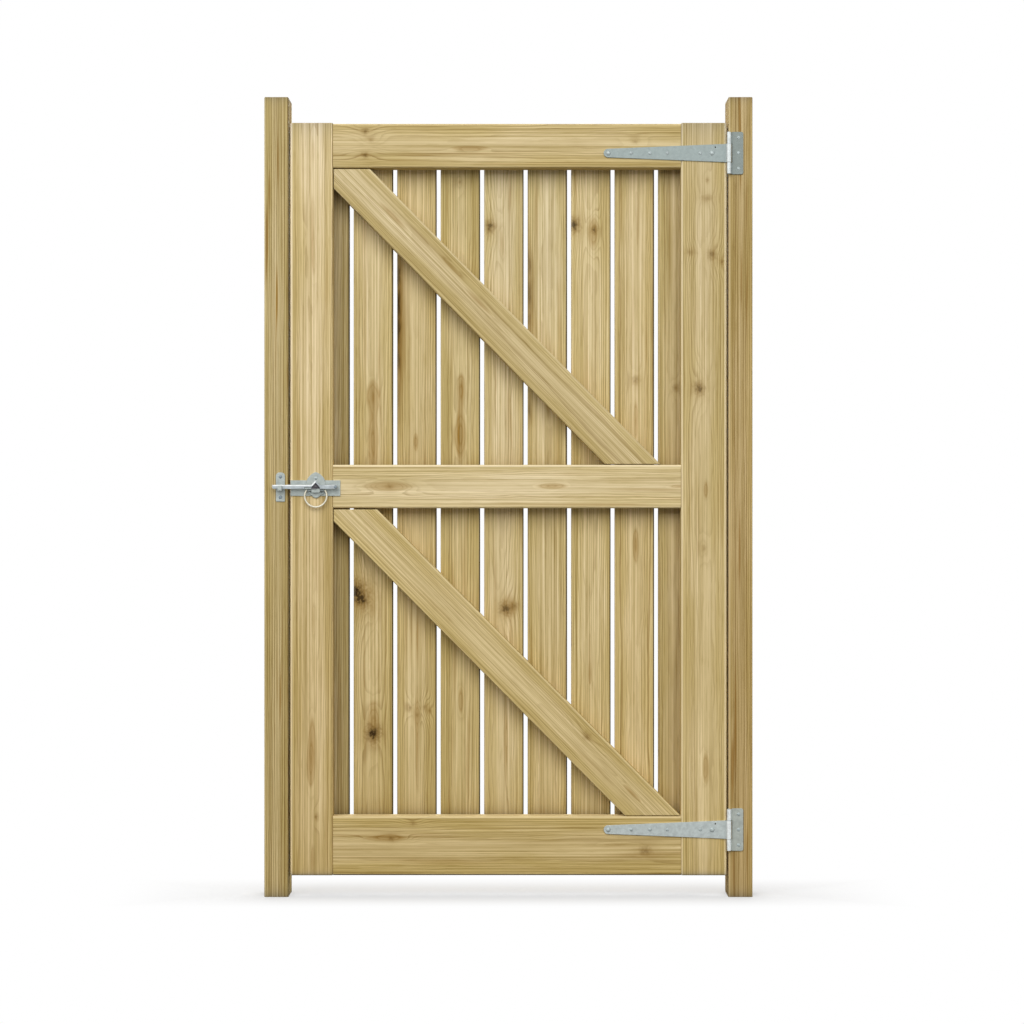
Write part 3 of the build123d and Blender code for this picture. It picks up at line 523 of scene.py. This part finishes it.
def wood_material(name, seed, heart, lean, tint, edges, turn=UPRIGHT, ring_width=RING_WIDTH, grain=0.62,
                  streaks=0.35, green=0.6, foot=(1.0, 0.955, 0.83), middle=None, width=None, ends=(),
                  top_highlight=False, rail_shade=False, marks=()):
    """The timber of one board.

    heart and lean are the place of the heart line and its slope, across and through the board. tint is the tone
    at the head of the gate, and foot is what it is multiplied by at the ground; the change between is partly
    painted light and shade. edges gives the painted highlight on the eased edges, or painted shade where it is
    negative: the left or top one, then the right or bottom one. ends gives how grey the head and the foot are,
    and over what length; at the foot this is painted shade. One flag paints a highlight all over the board's
    top, and another paints shade on the front just above the rails.
    """
    board = measure(name, turn, middle, width)
    material = bpy.data.materials.new(name + "_timber")
    wiring = empty_wiring(material)
    place = wiring.node("ShaderNodeTexCoord").outputs["Object"]
    point = wiring.node(
        "ShaderNodeMapping",
        {"Vector": place, "Location": board.centre, "Rotation": (0.0, math.radians(turn), 0.0)},
        vector_type="TEXTURE",
    ).outputs["Vector"]
    found = add_marks(wiring, point, board, ring_width, marks)
    along, through, across = wiring.split(point)
    height = wiring.split(place)["Z"]
    in_front = wiring.step(through, *FRONT_ZONE)
    pale, dark = edge_tones(wiring, board, through, across, in_front, edges, top_highlight)
    at_end = 0.0
    if not middle:
        at_end = within(wiring, wiring.math("ABSOLUTE", along), board.half_length, END_RIM, END_DARKENED)

    timber = wiring.node(
        "ShaderNodeGroup",
        {
            "Point": point,
            "Seed": seed,
            "Heart": (0.0, heart[1], heart[0]),
            "Lean": (0.0, lean[1], lean[0]),
            "Ring Width": ring_width,
            "Half Width": board.half_width,
            "Grain": grain,
            "Streaks": streaks,
            "Green": green,
            "Tint": tint_with_painted_shade(wiring, board, height, along, in_front, tint, foot, ends, rail_shade),
            "Edge Highlight": pale,
            "Edge Shade": dark,
            "End": at_end,
            **found,
        },
        node_tree=TREATED_TIMBER,
    ).outputs
    shader = wiring.node(
        "ShaderNodeBsdfPrincipled",
        {"Base Color": timber["Color"], "Roughness": timber["Roughness"], "Specular IOR Level": WOOD_SHINE,
         "Normal": wiring.bump(timber["Height"], **WOOD_BUMP)},
    )
    wiring.node("ShaderNodeOutputMaterial", {"Surface": shader.outputs["BSDF"]})
    nodes[name].data.materials[0] = material


wood_material(
    "latch_post", seed=1.0, heart=(0.070, 0.0), lean=(0.003, 0.003), tint=(0.87, 0.855, 0.785),
    edges=(0.3, -0.3), foot=(0.95, 0.9, 0.78), streaks=1.1, grain=1.3, ends=POST_ENDS,
)
wood_material(
    "hinge_post", seed=2.0, heart=(-0.068, 0.0), lean=(0.003, 0.003), tint=(0.75, 0.69, 0.57),
    edges=(0.7, 0.1), foot=(1.03, 0.97, 0.88), streaks=0.8, grain=0.95, ends=POST_ENDS,
)
wood_material(
    "latch_stile", seed=3.0, heart=(0.004, 0.030), lean=(0.002, 0.004), tint=(1.09, 1.07, 1.1),
    edges=(1.0, 0.1), foot=(0.86, 0.79, 0.62), ends=STILE_ENDS,
    marks=[
        lens(-469, 1792, 60, 9, 0.35), lens(-471, 1637, 80, 9, 0.4), lens(-469, 1528, 70, 9, 0.4),
        lens(-469, 670, 70, 8, 0.4), lens(-471, 365, 75, 9, 0.8), lens(-476, 316, 55, 9, 0.6),
        eye(-462, 192, 2.5, 0.5), lens(-470, 92, 50, 7, 0.5),
    ],
)
wood_material(
    "hinge_stile", seed=4.0, heart=(-0.004, 0.032), lean=(-0.002, 0.004), tint=(0.91, 0.89, 0.87),
    edges=(0.9, 1.0), foot=(1.09, 1.04, 0.9), ring_width=0.0032, streaks=0.25, ends=STILE_ENDS,
    marks=[
        eye(477, 1721, 2.2, 0.4), cloud(477, 1677, 10, 20, 0.35), cloud(438, 1548, 12, 18, 0.35),
        eye(489, 1541, 6, 0.55), eye(513, 1524, 3, 0.5), eye(457, 1221, 8, 0.7),
        lens(474, 977, 22, 6, 0.9), eye(469, 837, 4, 0.3), lens(474, 309, 40, 8, 0.9),
    ],
)
wood_material(
    "top_rail", seed=5.0, heart=(0.006, 0.030), lean=(0.003, 0.005), tint=(0.915, 0.88, 0.805),
    edges=(0.25, 0.1), turn=LEVEL,
    marks=[
        eye(-344, 1838, 4, 0.6), eye(-330, 1817, 3, 0.3), eye(-344, 1781, 4, 0.65),
        lens(-92, 1797, 45, 7, 0.9), eye(304, 1814, 3, 0.3),
    ],
)
wood_material(
    "middle_rail", seed=6.0, heart=(0.002, 0.035), lean=(0.002, 0.004), tint=(1.1, 1.11, 1.2),
    edges=(0.7, 0.1), turn=LEVEL, green=0.4,
    marks=[
        lens(-289, 986, 75, 12, 0.6), eye(-286, 985, 4, 0.4), lens(105, 986, 40, 8, 0.8),
        lens(412, 986, 35, 6, 0.6),
    ],
)
wood_material(
    "bottom_rail", seed=7.0, heart=(-0.01, 0.040), lean=(0.003, 0.005), tint=(0.955, 0.925, 0.875),
    edges=(0.7, -0.8), turn=LEVEL, ring_width=0.0034, green=0.75, top_highlight=True,
    marks=[
        lens(-300, 141, 55, 7, 0.7), eye(-281, 141, 4, 0.5), eye(-229, 177, 3.5, 0.4),
        eye(328, 110, 7, 0.5), lens(245, 125, 60, 8, 0.35),
    ],
)
wood_material(
    "upper_brace", seed=8.0, heart=(0.004, 0.030), lean=(0.003, 0.004), tint=(0.91, 0.89, 0.86),
    edges=(0.4, 0.1), ring_width=0.0032, grain=0.5, streaks=0.2, **UPPER_BRACE,
    marks=[lens(-277, 1634, 60, 8, 0.6), lens(-134, 1510, 60, 8, 0.5), lens(-71, 1428, 60, 8, 0.55)],
)
wood_material(
    "lower_brace", seed=9.0, heart=(-0.004, 0.032), lean=(0.003, 0.004), tint=(0.96, 0.94, 0.9),
    edges=(0.4, 0.1), ring_width=0.0032, grain=0.5, streaks=0.2, **LOWER_BRACE,
    marks=[eye(189, 386, 5, 0.5), lens(297, 249, 35, 6, 0.7)],
)

PALE_SEED = 10.0
# The pales' edges: a slight painted highlight on the left, painted shade on the front of the right
PALE_EDGE_LIGHT_AND_SHADE = (0.1, -0.9)


def pale_material(number, heart, lean, tint, foot, ring_width=RING_WIDTH, marks=()):
    wood_material(
        f"pale_{number}", PALE_SEED + number, heart, lean, tint, PALE_EDGE_LIGHT_AND_SHADE, foot=foot,
        ring_width=ring_width, rail_shade=True, marks=marks,
    )


# pale_1's dark tint is painted shade from the latch stile beside it, and its paler foot is painted light
pale_material(1, (0.01, 0.045), (0.004, 0.004), tint=(0.66, 0.64, 0.60), foot=(1.3, 1.3, 1.28))
pale_material(
    2, (0.0, 0.042), (0.002, 0.005), tint=(1.02, 1.015, 1.02), foot=(0.89, 0.82, 0.64),
    marks=[
        lens(-327, 1205, 38, 15, 1.0), lens(-327, 1090, 85, 12, 1.0), eye(-371, 730, 15, 1.0, stain=0.0),
        eye(-357, 715, 12, 0.9, stain=0.0), lens(-329, 690, 45, 12, 0.4, rise=3.0),
        eye(-327, 388, 11, 0.95), lens(-327, 425, 50, 13, 0.5, rise=2.5),
    ],
)
pale_material(
    3, (0.004, 0.040), (0.003, 0.004), tint=(0.945, 0.92, 0.87), foot=(0.98, 0.93, 0.8),
    marks=[
        wane(-266, 1500, 90, 12, 0.85), wane(-266, 1430, 90, 12, 0.9), wane(-266, 1360, 90, 12, 0.9),
        wane(-266, 1295, 90, 10, 0.8), wane(-266, 1205, 100, 7, 0.6), lens(-224, 1093, 24, 7, 0.9),
        eye(-238, 450, 2.5, 0.45), eye(-221, 433, 2.5, 0.45), eye(-202, 452, 2.5, 0.45),
        eye(-190, 443, 2.5, 0.4), lens(-221, 360, 150, 6, 0.6), lens(-221, 640, 120, 5, 0.4),
    ],
)
pale_material(
    4, (-0.002, 0.042), (0.003, 0.004), tint=(0.92, 0.91, 0.85), foot=(0.98, 0.915, 0.765),
    marks=[
        eye(-117, 1722, 2.5, 0.4), lens(-115, 1220, 38, 10, 1.0), lens(-116, 1110, 56, 13, 1.15, rise=3.0),
        lens(-115, 469, 40, 8, 0.7),
    ],
)
pale_material(
    5, (0.01, 0.040), (0.002, 0.004), tint=(0.99, 1.0, 1.05), foot=(1.06, 0.99, 0.85), ring_width=0.0032,
    marks=[
        eye(-45, 1614, 8, 0.75), lens(-15, 1570, 60, 9, 0.4), eye(-7, 690, 9, 0.75),
        cloud(12, 696, 14, 18, 0.5), lens(-6, 370, 130, 6, 0.7),
    ],
)
pale_material(
    6, (0.0, 0.045), (0.003, 0.004), tint=(0.99, 1.0, 1.025), foot=(0.92, 0.83, 0.64),
    marks=[
        wane(50, 1525, 80, 12, 0.65), wane(50, 1450, 90, 14, 0.65), wane(50, 1385, 60, 12, 0.6),
        wane(50, 1170, 45, 8, 0.7), lens(96, 1195, 60, 6, 0.7),
    ],
)
pale_material(
    7, (0.002, 0.040), (0.002, 0.005), tint=(1.0, 0.985, 0.955), foot=(0.99, 0.945, 0.84),
    marks=[
        eye(158, 1618, 9, 0.86), eye(208, 1606, 5, 0.72), lens(203, 1590, 50, 14, 0.35, rise=3.0),
        lens(197, 530, 30, 5, 0.6), lens(197, 600, 60, 6, 0.4),
    ],
)
pale_material(
    8, (-0.003, 0.042), (0.003, 0.004), tint=(0.935, 0.91, 0.88), foot=(1.12, 1.07, 0.96),
    marks=[cloud(308, 1243, 16, 14, 0.4), lens(308, 1150, 60, 7, 0.6), lens(308, 844, 45, 8, 0.9)],
)
# pale_9's darker tint is partly painted shade from the hinge stile beside it
pale_material(
    9, (0.012, 0.042), (0.003, 0.004), tint=(0.83, 0.81, 0.76), foot=(1.04, 0.99, 0.92),
    marks=[cloud(405, 1224, 12, 10, 0.45), wane(416, 627, 40, 3)],
)

# Zinc has a spangle of flakes, a mottle and fine grime, which change its tone, its roughness and its height
SPANGLE_SCALE = 190.0
MOTTLE = {"stretch": (75.0, 75.0, 75.0), "detail": 3.0, "roughness": 0.6}
GRIME = {"stretch": (420.0, 420.0, 420.0), "detail": 2.0}
FLAKE_SHARE = 0.14
MOTTLE_TONE = (0.6, 0.63)
FLAKE_ROUGHNESS_SHARE = 0.1
MOTTLE_ROUGHNESS_SHARE = 0.25
ROUGHNESS_SHIFT = 0.17
ZINC_BUMP = {"strength": 0.12, "distance": 0.0004}
ZONE_BLUR = 0.001


def zinc_material(name, tone, roughness, metallic, pieces, zones=()):
    """Galvanised steel: a mottled zinc skin with a dull spangle.

    zones are places with a tone of their own, most of them a painted highlight or painted shade: the range on X
    or Z, or both, and the tone.
    """
    material = bpy.data.materials.new(name)
    wiring = empty_wiring(material)
    place = wiring.node("ShaderNodeTexCoord").outputs["Object"]
    spangle = wiring.node("ShaderNodeTexVoronoi", {"Vector": place, "Scale": SPANGLE_SCALE}).outputs["Color"]
    flake = wiring.node("ShaderNodeSeparateColor", {"Color": spangle}).outputs[0]
    mottle = wiring.noise(place, **MOTTLE)
    grime = wiring.noise(place, **GRIME)
    shade = wiring.line(flake, FLAKE_SHARE, wiring.line(mottle, *MOTTLE_TONE))
    for ranges, zone_tone in zones:
        inside = 1.0
        for axis, (start, end) in ranges.items():
            position = wiring.split(place)[axis]
            inside = wiring.times(wiring.step(position, start - ZONE_BLUR, start + ZONE_BLUR), inside)
            inside = wiring.times(wiring.step(position, end + ZONE_BLUR, end - ZONE_BLUR), inside)
        tone = wiring.blend(inside, tone, zone_tone)
    least_rough = wiring.line(mottle, MOTTLE_ROUGHNESS_SHARE, roughness - ROUGHNESS_SHIFT)
    shader = wiring.node(
        "ShaderNodeBsdfPrincipled",
        {"Base Color": wiring.blend(1.0, wiring.joined(shade, shade, shade), tone, "MULTIPLY"),
         "Roughness": wiring.line(flake, FLAKE_ROUGHNESS_SHARE, least_rough),
         "Metallic": metallic,
         "Normal": wiring.bump(wiring.math("ADD", mottle, grime), **ZINC_BUMP)},
    )
    wiring.node("ShaderNodeOutputMaterial", {"Surface": shader.outputs["BSDF"]})
    for piece in pieces:
        nodes[piece].data.materials[0] = material


# Zones on the zinc. The knuckles and the bar's top edge carry a painted highlight, the boss's lug and the ring
# where it enters the lug carry painted shade, and the hinge flaps are a little darker.
HINGE_PLATE = {"X": (0.5345, 0.60)}
HINGE_KNUCKLE_HIGHLIGHT = {"X": (0.5225, 0.5335)}
BOSS_LUG_SHADE = {"Z": (0.980, 1.01)}
BAR_TOP_HIGHLIGHT_AT_KEEP = {"X": (-0.60, -0.4618), "Z": (0.9862, 1.01)}
BAR_TOP_HIGHLIGHT_AT_PIVOT = {"X": (-0.44, -0.30), "Z": (0.9866, 0.992)}
RING_SHADE_IN_LUG = {"X": (-0.4830, -0.4406), "Z": (0.968, 1.01)}
# The cam's tip and the spindle's foot keep the steel's plain grey, outside the painted shade of the rest
CAM_TIP = {"X": (-0.50, -0.4725)}
SPINDLE_FOOT = {"Z": (0.95, 0.9795)}
LATCH_GREY = srgb(160, 168, 164)
STEEL_GREY_OUT_OF_SHADE = srgb(150, 158, 156)

# On both hinges the knuckles carry a painted highlight. The upper hinge's zinc is a darker copy of the lower's:
# painted shade.
zinc_material(
    "upper_hinge_zinc", srgb(140, 151, 149), roughness=0.55, metallic=0.3,
    pieces=["upper_hinge_strap", "upper_hinge_flap"],
    zones=[(HINGE_PLATE, srgb(122, 131, 127)), (HINGE_KNUCKLE_HIGHLIGHT, srgb(208, 214, 213))],
)
zinc_material(
    "lower_hinge_zinc", srgb(174, 182, 180), roughness=0.55, metallic=0.3,
    pieces=["lower_hinge_strap", "lower_hinge_flap"],
    zones=[(HINGE_PLATE, srgb(160, 166, 159)), (HINGE_KNUCKLE_HIGHLIGHT, srgb(218, 223, 222))],
)
zinc_material(
    "latch_zinc", LATCH_GREY, roughness=0.52, metallic=0.35,
    pieces=["latch_plate", "latch_shield", "latch_keep", "rear_rose", "bar_spacer"],
)
# The boss's lug is painted dark: painted shade
zinc_material(
    "boss_zinc", LATCH_GREY, roughness=0.52, metallic=0.35,
    pieces=["front_ring_boss", "rear_ring_boss"],
    zones=[(BOSS_LUG_SHADE, srgb(60, 60, 64))],
)
# The bar's top edge carries a painted highlight, brightest by the keep
zinc_material(
    "bar_zinc", srgb(160, 168, 171), roughness=0.45, metallic=0.4,
    pieces=["latch_bar"],
    zones=[(BAR_TOP_HIGHLIGHT_AT_KEEP, srgb(226, 230, 230)), (BAR_TOP_HIGHLIGHT_AT_PIVOT, srgb(190, 196, 198))],
)
# The ring is painted darker where it goes into the lug: painted shade
zinc_material(
    "ring_zinc", srgb(208, 203, 184), roughness=0.45, metallic=0.4,
    pieces=["front_ring", "rear_ring"],
    zones=[(RING_SHADE_IN_LUG, srgb(122, 130, 130))],
)
zinc_material(
    "screw_zinc", srgb(164, 174, 173), roughness=0.5, metallic=0.35,
    pieces=["strap_screws", "strap_coach_screws", "flap_screws", "shield_screws", "rose_screws",
            "upper_hinge_pin", "lower_hinge_pin"],
)
# The keep's screws and the bar's pivot are darker; on the pivot this is painted shade
zinc_material(
    "darker_zinc", srgb(128, 140, 146), roughness=0.5, metallic=0.4,
    pieces=["keep_screws", "bar_pivot"],
)
# The spindle and the cam are painted dark as shade, with plain grey at the cam's tip and the spindle's foot
zinc_material(
    "steel_with_painted_shade", srgb(66, 64, 68), roughness=0.55, metallic=0.3,
    pieces=["ring_spindle", "lift_cam"],
    zones=[(CAM_TIP, STEEL_GREY_OUT_OF_SHADE), (SPINDLE_FOOT, STEEL_GREY_OUT_OF_SHADE)],
)
zinc_material("nail_zinc", srgb(150, 154, 150), roughness=0.5, metallic=0.5, pieces=["pale_nails"])


def seen_directly(wiring):
    """1 for what the camera, a mirror or glass sees, 0 for light on its way to a surface."""
    path = wiring.node("ShaderNodeLightPath").outputs
    seen = wiring.math("ADD", path["Is Camera Ray"], path["Is Glossy Ray"], clamp=True)
    return wiring.math("ADD", seen, path["Is Transmission Ray"], clamp=True)


FLOOR_RADIUS = 9.0
FLOOR_SIDES = 96
# The floor shows the gate's shadow near the line under the leaf, and is plain white further off
SHADOW_LINE = 0.04
SHADOW_DEPTH_ZONE = (0.0, 0.25)
SHADOW_SIDE_ZONE = (0.62, 0.98)
FLOOR_SEEN = grey(0.355)
FLOOR_UNSEEN = grey(0.17)
FLOOR_LIFT = 0.38


def make_floor():
    """A pale floor that keeps the gate's shadow and runs out into the white behind."""
    bpy.ops.mesh.primitive_circle_add(
        vertices=FLOOR_SIDES, radius=FLOOR_RADIUS, fill_type="NGON", location=(0.0, 0.0, 0.0)
    )
    floor = bpy.context.object
    floor.name = "floor"
    material = bpy.data.materials.new("pale_floor")
    wiring = empty_wiring(material)
    seen = seen_directly(wiring)
    place = wiring.node("ShaderNodeTexCoord").outputs["Object"]
    sideways, outwards, _ = wiring.split(place)
    beside = wiring.step(wiring.math("ABSOLUTE", sideways), *SHADOW_SIDE_ZONE)
    from_leaf = wiring.math("ABSOLUTE", wiring.math("SUBTRACT", outwards, SHADOW_LINE))
    far = wiring.math("MAXIMUM", beside, wiring.step(from_leaf, *SHADOW_DEPTH_ZONE))
    matt = wiring.node("ShaderNodeBsdfDiffuse", {"Color": wiring.blend(seen, FLOOR_UNSEEN, FLOOR_SEEN)})
    lift = wiring.node("ShaderNodeEmission", {"Color": WHITE, "Strength": wiring.times(seen, FLOOR_LIFT)})
    near = wiring.node("ShaderNodeAddShader", {0: matt.outputs[0], 1: lift.outputs[0]})
    plain = wiring.node("ShaderNodeEmission", {"Color": WHITE, "Strength": 1.0})
    surface = wiring.node(
        "ShaderNodeMixShader", {"Fac": wiring.times(far, seen), 1: near.outputs[0], 2: plain.outputs[0]}
    )
    wiring.node("ShaderNodeOutputMaterial", {"Surface": surface.outputs[0]})
    floor.data.materials.append(material)


def make_surroundings(level):
    """White where it is seen, and an even light of the given level on the gate."""
    world = bpy.data.worlds.new("white_room")
    bpy.context.scene.world = world
    wiring = empty_wiring(world)
    strength = wiring.line(seen_directly(wiring), 1.0 - level, level)
    light = wiring.node("ShaderNodeBackground", {"Color": WHITE, "Strength": strength})
    wiring.node("ShaderNodeOutputWorld", {"Surface": light.outputs[0]})


def make_lamp(name, place, aim, width, height, power):
    """A soft panel of light at place, turned to aim."""
    lamp = bpy.data.lights.new(name, "AREA")
    lamp.shape = "RECTANGLE"
    lamp.size = width
    lamp.size_y = height
    lamp.energy = power
    holder = bpy.data.objects.new(name, lamp)
    holder.location = place
    holder.rotation_euler = (aim - holder.location).to_track_quat("-Z", "Y").to_euler()
    holder.visible_camera = False
    bpy.context.scene.collection.objects.link(holder)


def make_camera(place, focal_length):
    """A level camera that looks at the gate square on."""
    camera = bpy.data.objects.new("camera", bpy.data.cameras.new("camera"))
    camera.data.lens = focal_length
    camera.location = place
    camera.rotation_euler = (math.radians(90), 0.0, 0.0)
    bpy.context.scene.collection.objects.link(camera)
    bpy.context.scene.camera = camera


gate_middle = (cad_low + cad_high) / 2
make_floor()
make_surroundings(level=0.10)
make_lamp("front_panel", (-1.6, -7.0, 6.3), gate_middle, width=15.0, height=8.0, power=1135.0)
make_lamp("right_lamp", (4.4, -3.6, 0.7), gate_middle, width=2.0, height=2.0, power=34.0)
make_lamp("left_side", (-6.2, 1.2, 2.4), gate_middle, width=1.2, height=2.5, power=120.0)
make_lamp("right_side", (6.2, 1.2, 0.95), gate_middle, width=1.2, height=1.6, power=120.0)
make_lamp("back_lamp", (0.0, 2.6, 5.5), gate_middle, width=3.5, height=3.5, power=240.0)
make_lamp("back_panel", (1.2, 8.0, 4.2), gate_middle, width=9.0, height=5.0, power=420.0)
make_camera(place=(0.0086, -6.0365, 0.924), focal_length=87.9)
bpy.context.scene.view_settings.view_transform = "Standard"
